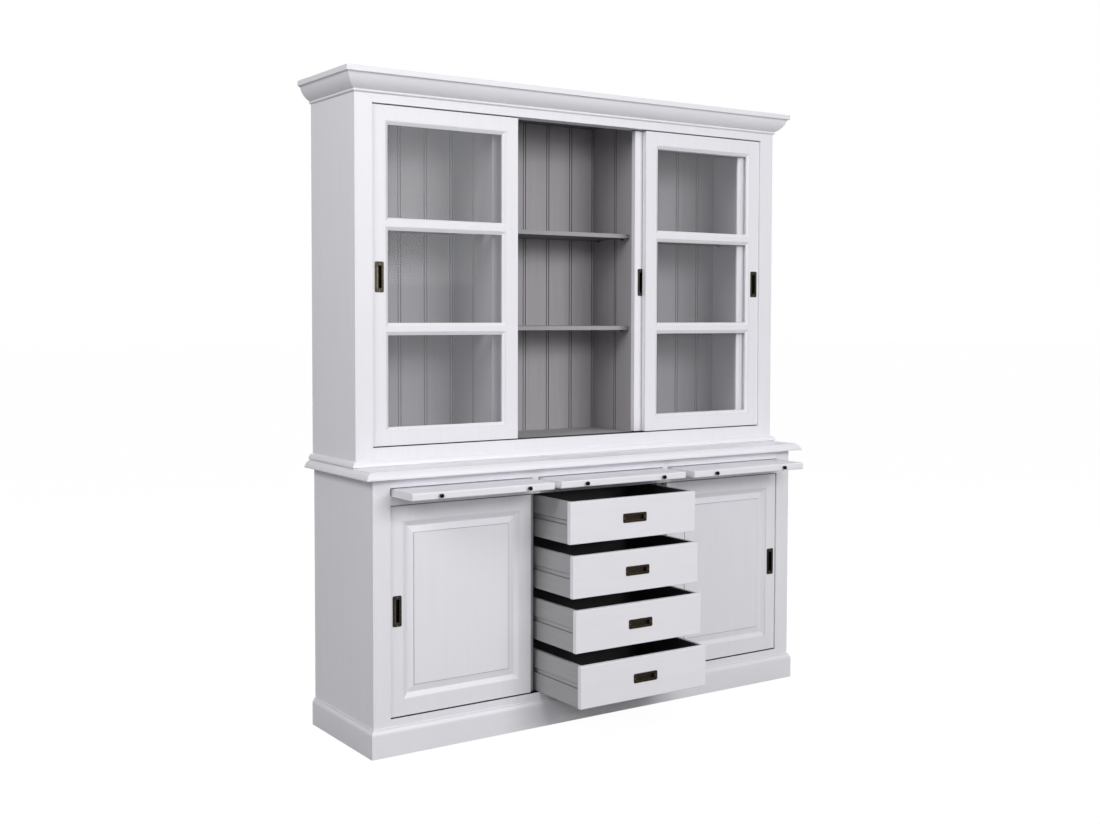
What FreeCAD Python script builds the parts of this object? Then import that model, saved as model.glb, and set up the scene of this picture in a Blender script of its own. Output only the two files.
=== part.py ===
import FreeCAD, Part
import math
import os
import re
import Sketcher

# Buffet cabinet in two units. A base with three pull-out serving trays, four drawers and two sliding
# panelled doors carries an upper unit with three sliding glazed doors in two tracks.
# X runs to the right, Y to the back and Z up, in millimetres. The origin lies on the floor, in the
# middle of the base. Doors, drawers and trays stand where the photographed piece has them.

doc = FreeCAD.newDocument("buffet_cabinet")

# Driving sizes
SIZES = [
    ("total_height", 2200, "floor to the top of the cornice"),
    ("base_height", 918, "floor to the top of the base's top board"),
    ("base_width", 1790, "base over its sides"),
    ("base_depth", 450, "base, back to the front of its face frame"),
    ("upper_step", 5, "upper unit past the base's sides, each side"),
    ("upper_depth", 338, "upper unit, back to the front of its face frame"),
    ("side_thickness", 22, "side panels"),
    ("panel_thickness", 18, "bottoms, top, tray deck"),
    ("back_thickness", 12, "back panels"),
    ("plinth_height", 92, "plinth"),
    ("plinth_overhang", 11, "plinth past the base's faces"),
    ("plinth_ovolo", 18, "height of the plinth's rounded top edge"),
    ("plinth_cap", 4, "flats above the plinth's rounded edge"),
    ("bearer_thickness", 22, "bearers under the base's bottom"),
    ("bearer_setback", 30, "outer bearers inside the base's sides"),
    ("top_thickness", 25, "base's top board"),
    ("top_core_overhang", 14, "top board's flat core past the base's faces"),
    ("top_edge_width", 22, "moulded edge round the core"),
    ("top_edge_square", 5, "square foot of that edge"),
    ("top_edge_flat", 5, "flat top of that edge"),
    ("top_edge_round", 25, "radius of that edge's rounded part"),
    ("base_stile_width", 62, "stiles of the base's face frame"),
    ("bottom_rail_height", 25, "base's bottom rail above the plinth"),
    ("base_floor_drop", 4, "base's floor below the top of its bottom rail"),
    ("rail_hidden_height", 50, "bottom rail behind the plinth"),
    ("frieze_top_rail", 30.5, "frieze above the tray slots"),
    ("tray_top_gap", 2.7, "trays below the tops of their slots"),
    ("frieze_low_rail", 29.5, "frieze below the tray slots"),
    ("centre_bay_width", 540, "base's drawer bay"),
    ("divider_thickness", 30, "walls of the drawer bay"),
    ("tray_guide_width", 25, "guides between the trays"),
    ("base_shelf_height", 455, "underside of the base's shelves"),
    ("base_shelf_setback", 20, "base's shelves behind the face frame"),
    ("upper_stile_width", 63, "stiles of the upper face frame"),
    ("sill_rail_height", 64, "upper unit's sill"),
    ("head_rail_height", 30.5, "upper unit's head rail below the cornice"),
    ("upper_floor_drop", 2, "upper floor below the top of the sill"),
    ("ceiling_rise", 33.5, "upper ceiling above the underside of the head rail"),
    ("carcass_drop", 20, "upper carcass below the top of the cornice"),
    ("cornice_height", 73, "cornice"),
    ("cornice_overhang", 48, "cornice past the upper unit's faces"),
    ("cornice_fillet", 17, "flat band at the top of the cornice"),
    ("cornice_lip", 9.5, "hollow under that band, across"),
    ("cornice_hollow_height", 5, "hollow under that band, up"),
    ("cornice_hollow", 10, "radius of that hollow"),
    ("cornice_swell", 64, "radius of the cornice's swelling part"),
    ("cornice_foot", 6, "start of the swelling part before the upper unit's face"),
    ("cornice_bead", 9, "height of the bead at the foot of the cornice"),
    ("cornice_bead_out", 4.5, "that bead's edges before the upper unit's face"),
    ("cornice_bead_radius", 5.3, "radius of that bead"),
    ("waist_height", 22, "moulding at the foot of the upper unit"),
    ("waist_overhang", 16, "that moulding past the upper unit's faces"),
    ("waist_step", 4, "square recess under that moulding, each way"),
    ("waist_top", 2, "flat on top of that moulding"),
    ("waist_round", 18.5, "radius of that moulding"),
    ("back_boards_across", 16.74, "boards across the back, the outer two cut narrower"),
    ("back_joint_count", 16, "joints between those boards"),
    ("back_board_shift", 3.7, "middle board to the right of the middle"),
    ("back_groove", 2.2, "depth of the grooves beside each joint's bead, half their width"),
    ("back_bead_half", 5, "middle of a joint's bead to the groove on each side"),
    ("back_bead_drop", 0.4, "beads below the boards' faces"),
    ("partition_board", 128, "front boards of the partitions' walls"),
    ("upper_bay_width", 540, "upper unit's middle bay"),
    ("partition_width", 84, "hollow partitions beside the middle bay"),
    ("partition_skin", 16, "walls of the partitions"),
    ("partition_post", 20, "depth of the partitions' front posts"),
    ("shelf_thickness", 16, "shelves"),
    ("shelf_setback", 38, "upper shelves behind the partitions' fronts"),
    ("shelf_play", 0.5, "shelf to each wall beside it"),
    ("shelf_edge_radius", 2, "rounded front edges of the shelves"),
    ("pin_diameter", 6, "shelf pins"),
    ("pin_length", 12, "shelf pins out of the wall"),
    ("pin_inset", 40, "shelf pins from the shelf's front and back edges"),
    ("door_thickness", 20, "all sliding doors"),
    ("door_recess", 6, "doors behind the face frame's front"),
    ("door_gap", 4, "between doors that pass each other"),
    ("door_side_gap", 1, "closed door to its stile"),
    ("door_lift", 3.5, "doors above their sills"),
    ("door_head_gap", 3.5, "doors below their head rails"),
    ("guide_width", 8, "guide strips along the doors' upper and lower edges"),
    ("guide_play", 0.5, "guide strips in their grooves, each side"),
    ("guide_clearance", 1.5, "upper guide strips below the tops of their grooves"),
    ("head_groove_depth", 11, "grooves in the head rails"),
    ("track_depth", 7, "tracks let into the sills"),
    ("track_plate", 1.5, "plates of the tracks"),
    ("track_lip", 3, "sills before their tracks"),
    ("track_drop", 0.5, "tracks' ribs below the tops of the sills"),
    ("running_gap", 0.3, "between faces that slide on each other"),
    ("door_overlap", 4, "middle upper door behind each side door, when shut"),
    ("middle_door_rest", 25, "middle upper door short of the right stile, as it stands"),
    ("upper_door_stile", 49, "upper doors' stiles"),
    ("upper_door_top_rail", 50.5, "upper doors' top rails"),
    ("upper_door_low_rail", 49, "upper doors' bottom rails"),
    ("muntin_width", 18, "bars between the panes"),
    ("bead_width", 12, "bevelled beads round the panes"),
    ("bead_edge", 1.5, "square edge of beads and mouldings"),
    ("back_bead_width", 9, "square beads behind the panes"),
    ("glass_depth", 8, "panes behind the door's face"),
    ("glass_thickness", 4, "panes"),
    ("lower_door_inset", 4, "lower doors short of the drawer bay walls' inner side"),
    ("lower_door_stile", 48, "lower doors' stiles"),
    ("lower_door_top_rail", 51, "lower doors' top rails"),
    ("lower_door_low_rail", 54.5, "lower doors' bottom rails"),
    ("moulding_width", 17, "bevelled moulding round the panels"),
    ("panel_depth", 9, "sunk part of the panels behind the door's face"),
    ("door_panel_thickness", 8, "sunk part of the panels"),
    ("panel_bevel", 22, "width of the panels' bevels"),
    ("panel_rise", 4, "rise of the panels' bevels"),
    ("field_step", 1.5, "step at the edge of the panels' fields"),
    ("pull_length", 100, "flush pulls, long side"),
    ("pull_width", 32, "flush pulls, short side"),
    ("pull_rim", 6, "flush pulls' rims, long sides"),
    ("pull_end_rim", 11, "flush pulls' rims, short sides"),
    ("pull_rim_thickness", 1.2, "rims on the wood"),
    ("pull_depth", 12, "flush pulls' cups"),
    ("pull_wall", 1.5, "walls of the cups"),
    ("pull_corner", 5, "rounded corners of the rims"),
    ("pull_fit", 0.2, "cup in its pocket"),
    ("pull_margin", 9, "pulls from the doors' outer edges"),
    ("middle_pull_margin", 14, "middle upper door's pull from its edge"),
    ("upper_pull_height", 1537, "middle of the upper doors' pulls"),
    ("lower_pull_height", 463, "middle of the lower doors' pulls"),
    ("runner_groove_height", 18, "grooves in the drawers' sides"),
    ("runner_groove_depth", 7, "those grooves"),
    ("runner_groove_stop", 4, "round ends of those grooves behind the drawers' fronts"),
    ("drawer_side_gap", 3, "drawers' fronts to the bay's walls"),
    ("drawer_side_inset", 2.5, "drawers' sides inside the ends of their fronts"),
    ("drawer_space", 37, "between one drawer and the next"),
    ("drawer_back_gap", 12, "shut drawers to the back"),
    ("drawer_front_gap", 4, "shut drawers behind the face frame"),
    ("drawer_low_gap", 1, "lowest drawer above the bottom rail"),
    ("drawer_top_gap", 10, "highest drawer below the frieze"),
    ("drawer_front", 18, "drawer fronts"),
    ("drawer_edge_radius", 2, "rounded edges of the drawer fronts"),
    ("drawer_wall", 12, "drawer sides and backs"),
    ("drawer_bottom", 8, "drawer bottoms"),
    ("drawer_bottom_rise", 10, "drawer bottoms above the sides' lower edges"),
    ("drawer_1_out", 226, "top drawer, pulled out"),
    ("drawer_2_out", 243, "second drawer, pulled out"),
    ("drawer_3_out", 261, "third drawer, pulled out"),
    ("drawer_4_out", 290, "lowest drawer, pulled out"),
    ("tray_thickness", 24, "serving trays"),
    ("tray_back_gap", 38, "shut trays to the back"),
    ("left_tray_out", 143, "left serving tray, pulled out"),
    ("middle_tray_out", 137, "middle serving tray, pulled out"),
    ("right_tray_out", 148, "right serving tray, pulled out"),
    ("tray_side_gap", 3.5, "trays to the sides of their slots"),
    ("tray_play", 0.5, "trays to the guide on each side"),
    ("tray_edge_radius", 4, "rounded edges of the trays' fronts"),
    ("knob_ball", 14, "diameter of the knobs' balls"),
    ("knob_neck", 6, "diameter of the knobs' necks"),
    ("knob_foot", 9, "diameter of the knobs' feet"),
    ("knob_foot_height", 2, "knobs' feet"),
    ("knob_neck_length", 1, "knobs, foot to ball"),
    ("knob_spacing", 330, "between the two knobs of a tray"),
]

# Places worked out from the sizes
PLACES = [
    ("base_half", "base_width / 2"),
    ("base_inner", "base_half - side_thickness"),
    ("base_opening", "base_half - base_stile_width"),
    ("back", "base_depth / 2"),
    ("inside_back", "back - back_thickness"),
    ("base_front", "-base_depth / 2"),
    ("base_frame_back", "base_front + 2 * door_recess + door_thickness"),
    ("top_under", "base_height - top_thickness"),
    ("slot_height", "running_gap + tray_thickness + tray_top_gap"),
    ("slot_top", "top_under - frieze_top_rail"),
    ("slot_floor", "slot_top - slot_height"),
    ("low_head", "slot_floor - frieze_low_rail"),
    ("low_sill", "plinth_height + bottom_rail_height"),
    ("base_floor", "low_sill - base_floor_drop"),
    ("deck_under", "slot_floor - panel_thickness"),
    ("bay_half", "centre_bay_width / 2"),
    ("divider_outer", "bay_half + divider_thickness"),
    ("tray_half", "bay_half"),
    ("slot_side", "tray_half + tray_guide_width"),
    ("guide_reach", "tray_side_gap - tray_play"),
    ("upper_half", "base_half + upper_step"),
    ("upper_inner", "upper_half - side_thickness"),
    ("upper_opening", "upper_half - upper_stile_width"),
    ("upper_front", "back - upper_depth"),
    ("upper_frame_back", "upper_front + 2 * door_recess + 2 * door_thickness + door_gap"),
    ("upper_sill", "base_height + sill_rail_height"),
    ("cornice_low", "total_height - cornice_height"),
    ("upper_head", "cornice_low - head_rail_height"),
    ("cornice_fillet_low", "cornice_height - cornice_fillet"),
    ("cornice_swell_top", "cornice_fillet_low - cornice_hollow_height"),
    ("upper_floor", "upper_sill - upper_floor_drop"),
    ("ceiling", "upper_head + ceiling_rise"),
    ("carcass_top", "total_height - carcass_drop"),
    ("bay_wall", "upper_bay_width / 2"),
    ("partition_outer", "bay_wall + partition_width"),
    ("front_track", "upper_front + door_recess"),
    ("rear_track", "front_track + door_thickness + door_gap"),
    ("low_track", "base_front + door_recess"),
    ("upper_door_low", "upper_sill + door_lift"),
    ("upper_door_top", "upper_head - door_head_gap"),
    ("upper_door_width", "upper_opening * 2 / 3 - door_side_gap"),
    ("middle_door_width", "upper_opening * 2 / 3 + 2 * door_overlap"),
    ("pane_low", "upper_door_low + upper_door_low_rail"),
    ("pane_span", "(upper_door_top - upper_door_top_rail - pane_low - 2 * muntin_width) / 3"),
    ("pane_pitch", "pane_span + muntin_width"),
    ("low_door_low", "low_sill + door_lift"),
    ("low_door_top", "low_head - door_head_gap"),
    ("lower_door_width", "base_opening - door_side_gap - divider_outer + lower_door_inset"),
    ("drawer_half", "bay_half - drawer_side_gap"),
    ("drawer_outer", "drawer_half - drawer_side_inset"),
    ("groove_radius", "runner_groove_height / 2"),
    ("drawer_shut", "base_frame_back + drawer_front_gap"),
    ("drawer_lowest", "low_sill + drawer_low_gap"),
    ("drawer_height", "(low_head - drawer_top_gap - drawer_lowest - 3 * drawer_space) / 4"),
    ("drawer_pitch", "drawer_height + drawer_space"),
    ("drawer_depth", "inside_back - drawer_back_gap - drawer_shut"),
    ("tray_floor", "slot_floor + running_gap"),
    ("tray_depth", "inside_back - tray_back_gap - base_front"),
]

home = {}


def fill_sheet(sheet_name, rows):
    """Writes named rows into a sheet and remembers which sheet holds each name."""
    sheet = doc.addObject("Spreadsheet::Sheet", sheet_name)
    for line, row in enumerate(rows, 1):
        sheet.set(f"A{line}", row[-1] if len(row) == 3 else row[0])
        content = "=" + formula(row[1]) if isinstance(row[1], str) else str(row[1])
        sheet.set(f"B{line}", content)
        sheet.setAlias(f"B{line}", row[0])
        home[row[0]] = sheet_name
    return sheet


def with_sheet(word):
    """A named size with its sheet's name before it; the square root stays as it is."""
    return word if word == "sqrt" else f"{home[word]}.{word}"


def formula(text):
    """Puts the sheet's name before each named size in a formula."""
    return re.sub(r"[a-z]\w*", lambda match: with_sheet(match.group()), text)


sizes = fill_sheet("Sizes", SIZES)
doc.recompute()
fill_sheet("Places", PLACES)
doc.recompute()


def value(text):
    """The number that a formula gives with the present sizes."""
    return float(sizes.evalExpression(formula(text)))


nodes = []


def node(label, pieces):
    """Names one sub-part, made of one or more separate solids."""
    if len(pieces) == 1:
        part = pieces[0]
    else:
        part = doc.addObject("Part::Compound", label)
        part.Links = pieces
    part.Label = label
    nodes.append(part)


def board(name, x, y, z):
    """A straight board between two planes on each axis, given as formulas."""
    box = doc.addObject("Part::Box", name)
    for size, axis, (low, high) in (("Length", "x", x), ("Width", "y", y), ("Height", "z", z)):
        box.setExpression(size, formula(f"({high}) - ({low})"))
        box.setExpression(f"Placement.Base.{axis}", formula(low))
    return box


def mirrored(span):
    """The same span on the left-hand side."""
    return f"-({span[1]})", f"-({span[0]})"


def pair(name, x, y, z):
    """A board on the right and its twin on the left."""
    return [board(f"{name}_left", mirrored(x), y, z), board(f"{name}_right", x, y, z)]


def cut(name, base, tool):
    """A piece with another taken out of it."""
    result = doc.addObject("Part::Cut", name)
    result.Base = base
    result.Tool = tool
    return result


def fuse(name, pieces):
    """Several shapes as one solid."""
    result = doc.addObject("Part::MultiFuse", name)
    result.Shapes = pieces
    result.Refine = True
    return result


def frustum(name, x, z, y, slope):
    """A block whose back is smaller or larger than its front by the same slope on all four sides."""
    block = doc.addObject("Part::Wedge", name)
    for axis, (low, high) in (("X", x), ("Z", z)):
        block.setExpression(f"{axis}min", formula(low))
        block.setExpression(f"{axis}max", formula(high))
        block.setExpression(f"{axis}2min", formula(f"({low}) + ({slope})"))
        block.setExpression(f"{axis}2max", formula(f"({high}) - ({slope})"))
    block.setExpression("Ymin", formula(y[0]))
    block.setExpression("Ymax", formula(y[1]))
    return block


def inset(span, margin):
    """A span drawn in by the same margin at both ends."""
    return f"({span[0]}) + ({margin})", f"({span[1]}) - ({margin})"


def round_edges(name, base, radius, chosen):
    """Rounds the edges of a piece that a test picks."""
    doc.recompute()
    result = doc.addObject("Part::Fillet", name)
    result.Base = base
    size = value(radius)
    picked = [number for number, edge in enumerate(base.Shape.Edges, 1) if chosen(edge)]
    result.Edges = [(number, size, size) for number in picked]
    return result


def along(edge, axis):
    """Whether a straight edge runs along an axis."""
    return abs(edge.tangentAt(edge.FirstParameter).dot(axis)) > 0.999


def lies_at(depth):
    """A test for edges that lie in the plane at a depth given as a formula."""
    plane = value(depth)

    def test(edge):
        return all(abs(vertex.Y - plane) < 0.01 for vertex in edge.Vertexes)
    return test


X_AXIS = FreeCAD.Vector(1, 0, 0)
Y_AXIS = FreeCAD.Vector(0, 1, 0)
Z_AXIS = FreeCAD.Vector(0, 0, 1)


def arc_between(start, end, radius, hollow):
    """The short arc from one point to the next, hollow or swelling, and whether it runs backwards."""
    chord = end - start
    reach = math.sqrt(max(radius ** 2 - (chord.Length / 2) ** 2, 0.0))
    across = FreeCAD.Vector(-chord.y, chord.x, 0).normalize()
    centre = (start + end) / 2 + across * (reach if not hollow else -reach)
    backwards = hollow
    first, last = (end, start) if backwards else (start, end)
    angles = [math.atan2(point.y - centre.y, point.x - centre.x) for point in (first, last)]
    return Part.ArcOfCircle(Part.Circle(centre, Z_AXIS, radius), *angles), backwards


def outline(name, steps, turn):
    """A closed sketch, anticlockwise, through points given as formulas. A step with a radius curves to
    its point: swelling outwards for a bulge, inwards for a hollow."""
    sketch = doc.addObject("Sketcher::SketchObject", name)
    sketch.Placement = FreeCAD.Placement(FreeCAD.Vector(), turn)
    points = [FreeCAD.Vector(value(step[0]), value(step[1]), 0) for step in steps]
    ends = []
    curves = []
    for number, step in enumerate(steps):
        start, end = points[number - 1], points[number]
        backwards = False
        if len(step) == 2:
            curve = Part.LineSegment(start, end)
        else:
            curve, backwards = arc_between(start, end, value(step[2]), step[3] == "hollow")
            curves.append((number, step[2]))
        sketch.addGeometry(curve)
        ends.append((2, 1) if backwards else (1, 2))
    for number, step in enumerate(steps):
        following = (number + 1) % len(steps)
        joint = Sketcher.Constraint("Coincident", number, ends[number][1], following, ends[following][0])
        sketch.addConstraint(joint)
        for kind, axis_line, text in (("DistanceX", -2, step[0]), ("DistanceY", -1, step[1])):
            if text == "0":
                on_axis = Sketcher.Constraint("PointOnObject", number, ends[number][1], axis_line)
                sketch.addConstraint(on_axis)
                continue
            size = Sketcher.Constraint(kind, -1, 1, number, ends[number][1], value(text))
            place = sketch.addConstraint(size)
            sketch.setExpression(f"Constraints[{place}]", formula(text))
    for number, radius in curves:
        place = sketch.addConstraint(Sketcher.Constraint("Radius", number, value(radius)))
        sketch.setExpression(f"Constraints[{place}]", formula(radius))
    return sketch


def facing(outward):
    """The turn that lays a sketch's width along an outward direction and its height along Z."""
    return FreeCAD.Rotation(outward, Z_AXIS, outward.cross(Z_AXIS), "XYZ")


def bar(name, steps, outward, run, length, base):
    """A moulding of one section along a straight run."""
    sketch = outline(f"{name}_section", steps, facing(outward))
    piece = doc.addObject("Part::Extrusion", name)
    piece.Base = sketch
    piece.DirMode = "Custom"
    piece.Dir = run
    piece.Solid = True
    piece.setExpression("LengthFwd", formula(length))
    for axis, text in zip("xyz", base):
        piece.setExpression(f"Placement.Base.{axis}", formula(text))
    return piece


def mitre_tool(name, corner, reach, height, turn):
    """A block with a corner on the mitre line, turned to take one side of it away."""
    tool = board(name, ("0", reach), ("0", reach), ("0", height))
    for axis, text in zip("xyz", corner):
        tool.setExpression(f"Placement.Base.{axis}", formula(text))
    tool.Placement.Rotation = FreeCAD.Rotation(Z_AXIS, turn)
    return tool


def mitred_moulding(name, steps, half, face, overhang, low, height):
    """A moulding round the front and both sides of a carcass, mitred at the two front corners."""
    reach = f"2 * ({overhang})"
    left = (f"-({half})", face, low)
    right = (half, face, low)
    start = f"({face}) - ({overhang})"
    front = bar(f"{name}_front_bar", steps, -Y_AXIS, X_AXIS, f"2 * ({half}) + 2 * ({overhang})",
                (f"-({half}) - ({overhang})", face, low))
    front = cut(f"{name}_front_trim", front, mitre_tool(f"{name}_saw_a", left, reach, height, 135))
    front = cut(f"{name}_front", front, mitre_tool(f"{name}_saw_b", right, reach, height, -45))
    pieces = [front]
    for side, outward, corner in (("left", -X_AXIS, left), ("right", X_AXIS, right)):
        run = bar(f"{name}_{side}_bar", steps, outward, Y_AXIS, f"back - ({start})",
                  (corner[0], start, low))
        saw = mitre_tool(f"{name}_saw_{side}", corner, reach, height, -135)
        pieces.append(cut(f"{name}_{side}", run, saw))
    return pieces


def guide_span(face):
    """Depths of a door's guide strips, in the middle of its thickness."""
    middle = f"({face}) + door_thickness / 2"
    return f"{middle} - guide_width / 2", f"{middle} + guide_width / 2"


def between_grooves(front, faces, back):
    """Depths of the wood or metal left beside the grooves of a row of doors."""
    edges = [front]
    for face in faces:
        strip = guide_span(face)
        edges += [f"{strip[0]} - guide_play", f"{strip[1]} + guide_play"]
    edges.append(back)
    return list(zip(edges[::2], edges[1::2]))


def head_rail(name, half, faces, depth, height):
    """A rail with a groove for each door's upper guide strip: lips under a plain cap."""
    groove_top = f"({height[0]}) + head_groove_depth"
    width = (f"-({half})", half)
    pieces = [board(f"{name}_lip_{number}", width, lip, (height[0], groove_top))
              for number, lip in enumerate(between_grooves(depth[0], faces, depth[1]))]
    pieces.append(board(f"{name}_cap", width, depth, (groove_top, height[1])))
    return pieces


def sill_rail(name, half, depth, height):
    """A rail with a rebate for a track behind a narrow lip."""
    width = (f"-({half})", half)
    seat = f"({height[1]}) - track_depth"
    return [board(f"{name}_body", width, depth, (height[0], seat)),
            board(f"{name}_lip", width, (depth[0], f"({depth[0]}) + track_lip"), (seat, height[1]))]


def track(name, half, faces, depth, sill):
    """A track in its sill: ribs on a plate, with a groove for each door's lower guide strip."""
    width = (f"-({half})", half)
    front = f"({depth[0]}) + track_lip"
    seat = f"({sill}) - track_depth"
    rib_height = (f"{seat} + track_plate", f"({sill}) - track_drop")
    pieces = [board(f"{name}_plate", width, (front, depth[1]), (seat, rib_height[0]))]
    pieces += [board(f"{name}_rib_{number}", width, rib, rib_height)
               for number, rib in enumerate(between_grooves(front, faces, depth[1]))]
    return pieces


def flush_pull(name, middle, front, along_x):
    """A recessed pull: a rim with rounded corners on the wood and a cup let into it."""
    long_side, short_side = ("x", "z") if along_x else ("z", "x")
    half = {long_side: "pull_length / 2", short_side: "pull_width / 2"}
    rim_width = {long_side: "pull_end_rim", short_side: "pull_rim"}

    def span(axis, margin):
        return inset((f"({middle[axis]}) - {half[axis]}", f"({middle[axis]}) + {half[axis]}"), margin)

    def inner(part, margin, y):
        x, z = (span(axis, f"{rim_width[axis]} + {margin}") for axis in "xz")
        return board(f"{name}_{part}", x, y, z)

    face = f"({front}) - pull_rim_thickness"
    plate = board(f"{name}_plate", span("x", "0"), (face, front), span("z", "0"))
    rim = round_edges(f"{name}_rim", plate, "pull_corner", lambda edge: along(edge, Y_AXIS))
    cup = inner("cup", "0", (front, f"({front}) + pull_depth"))
    hollow = inner("hollow", "pull_wall", (face, f"({front}) + pull_depth - pull_wall"))
    node(name, [cut(f"{name}_body", fuse(f"{name}_solid", [rim, cup]), hollow)])
    return inner("pocket", "(-pull_fit)", (f"{front}", f"({front}) + pull_depth + pull_fit"))


def ring(name, x, z, y, slope):
    """A four-sided bead with mitred corners: square behind, or bevelled towards the front."""
    outer = board(f"{name}_block", x, y, z)
    if slope == "bevel":
        edge = "bead_edge"
        hole = frustum(f"{name}_hole", inset(x, edge), inset(z, edge), y, "bead_width - bead_edge")
    elif slope == "moulding":
        edge = "bead_edge"
        hole = frustum(f"{name}_hole", inset(x, edge), inset(z, edge), y, "moulding_width - bead_edge")
    else:
        hole = board(f"{name}_hole", inset(x, "back_bead_width"), y, inset(z, "back_bead_width"))
    return cut(name, outer, hole)


def door_frame(door, x, front, z, stile, rails, pocket, pull_on_left):
    """Stiles and rails of a door; the cup of its pull is let into one stile."""
    y = (front, f"({front}) + door_thickness")
    sides = {"left": (x[0], f"({x[0]}) + {stile}"), "right": (f"({x[1]}) - {stile}", x[1])}
    pieces = []
    for side, span in sides.items():
        piece = board(f"{door}_{side}_stile", span, y, z)
        if (side == "left") == pull_on_left:
            piece = cut(f"{door}_{side}_stile_with_pocket", piece, pocket)
        pieces.append(piece)
    between = (sides["left"][1], sides["right"][0])
    pieces += [board(f"{door}_rail_{number}", between, y, span) for number, span in enumerate(rails)]
    node(f"{door}_frame", pieces)
    return between


def door_guides(door, x, front, z, sill, head):
    """Guide strips along a door's edges: one stands in its track, one in the head rail's groove."""
    y = guide_span(front)
    foot = f"({sill}) - track_depth + track_plate + running_gap"
    tip = f"({head}) + head_groove_depth - guide_clearance"
    node(f"{door}_guides", [board(f"{door}_low_guide", x, y, (foot, z[0])),
                            board(f"{door}_top_guide", x, y, (z[1], tip))])


# Base unit
PLINTH_SECTION = [
    ("0", "0"),
    ("plinth_overhang", "0"),
    ("plinth_overhang", "plinth_height - plinth_ovolo"),
    ("plinth_cap", "plinth_height - plinth_cap", "plinth_ovolo", "bulge"),
    ("plinth_cap", "plinth_height"),
    ("0", "plinth_height"),
]
node("plinth", mitred_moulding("plinth_moulding", PLINTH_SECTION, "base_half", "base_front",
                               "plinth_overhang", "0", "plinth_height"))

base_height_span = ("0", "top_under")
base_inside = ("base_frame_back", "inside_back")
base_frame = ("base_front", "base_frame_back")
opening = ("-base_opening", "base_opening")
inside = ("-base_inner", "base_inner")
node("base_sides", pair("base_side", ("base_inner", "base_half"), ("base_frame_back", "back"),
                        base_height_span))
bottom_under = "base_floor - panel_thickness"
bottom_pieces = [board("base_bottom_board", inside, base_inside, (bottom_under, "base_floor"))]
bearer_height = ("0", bottom_under)
bearer_outer = "base_inner - bearer_setback"
bottom_pieces.append(board("middle_bearer", ("-bearer_thickness / 2", "bearer_thickness / 2"), base_inside,
                           bearer_height))
bottom_pieces += pair("outer_bearer", (f"{bearer_outer} - bearer_thickness", bearer_outer), base_inside,
                      bearer_height)
node("base_bottom", bottom_pieces)
node("base_back", [board("base_back", inside, ("inside_back", "back"),
                         ("plinth_height - rail_hidden_height", "top_under"))])
node("base_dividers", pair("base_divider", ("bay_half", "divider_outer"), base_inside,
                           ("base_floor", "deck_under")))

base_frame_pieces = pair("base_stile", ("base_opening", "base_half"), base_frame, base_height_span)
base_frame_pieces += sill_rail("base_bottom_rail", "base_opening", base_frame,
                               ("plinth_height - rail_hidden_height", "low_sill"))
base_frame_pieces += head_rail("frieze_low_rail", "base_opening", ["low_track"], base_frame,
                               ("low_head", "slot_floor"))
base_frame_pieces += pair("slot_divider", ("tray_half", "slot_side"), base_frame,
                          ("slot_floor", "slot_top"))
base_frame_pieces.append(board("frieze_top_rail", opening, base_frame, ("slot_top", "top_under")))
node("base_face_frame", base_frame_pieces)

tray_deck_pieces = [board("deck_board", inside, base_inside, ("deck_under", "slot_floor"))]
guide_height = ("slot_floor", "top_under")
tray_deck_pieces += pair("inner_guide", ("tray_half - guide_reach", "slot_side + guide_reach"), base_inside,
                         guide_height)
tray_deck_pieces += pair("outer_guide", ("base_opening - guide_reach", "base_inner"), base_inside,
                         guide_height)
node("tray_deck", tray_deck_pieces)

TOP_EDGE_SECTION = [
    ("0", "0"),
    ("top_edge_width", "0"),
    ("top_edge_width", "top_edge_square"),
    ("top_edge_width - bead_edge", "top_edge_square"),
    ("top_edge_flat", "top_thickness - bead_edge", "top_edge_round", "bulge"),
    ("top_edge_flat", "top_thickness"),
    ("0", "top_thickness"),
]
top_core = "base_half + top_core_overhang"
top_face = "base_front - top_core_overhang"
top_pieces = [board("top_core", (f"-({top_core})", top_core), (top_face, "back"),
                    ("top_under", "base_height"))]
top_pieces += mitred_moulding("top_edge", TOP_EDGE_SECTION, top_core, top_face, "top_edge_width",
                              "top_under", "top_thickness")
node("base_top", top_pieces)

pins = []


def shelf(name, x, front, low):
    """A loose shelf on four pins."""
    pin_low = f"({low}) - pin_diameter"
    depths = (f"({front}) + pin_inset", "inside_back - pin_inset")
    for number, (wall, run) in enumerate(((x[0], X_AXIS), (x[1], -X_AXIS))):
        for row, depth in enumerate(depths):
            pin = doc.addObject("Part::Cylinder", f"{name}_pin_{number}_{row}")
            pin.setExpression("Radius", formula("pin_diameter / 2"))
            pin.setExpression("Height", formula("pin_length"))
            for axis, text in zip("xyz", (wall, depth, f"{pin_low} + pin_diameter / 2")):
                pin.setExpression(f"Placement.Base.{axis}", formula(text))
            pin.Placement.Rotation = FreeCAD.Rotation(Z_AXIS, run)
            pins.append(pin)
    plank = board(f"{name}_plank", inset(x, "shelf_play"), (front, "inside_back"),
                  (low, f"({low}) + shelf_thickness"))
    front_edge = lies_at(front)
    return round_edges(name, plank, "shelf_edge_radius",
                       lambda edge: along(edge, X_AXIS) and front_edge(edge))


base_shelf_front = "base_frame_back + base_shelf_setback"
base_bay = ("divider_outer", "base_inner")
shelves = [shelf("base_shelf_left", mirrored(base_bay), base_shelf_front, "base_shelf_height"),
           shelf("base_shelf_right", base_bay, base_shelf_front, "base_shelf_height")]

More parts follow.
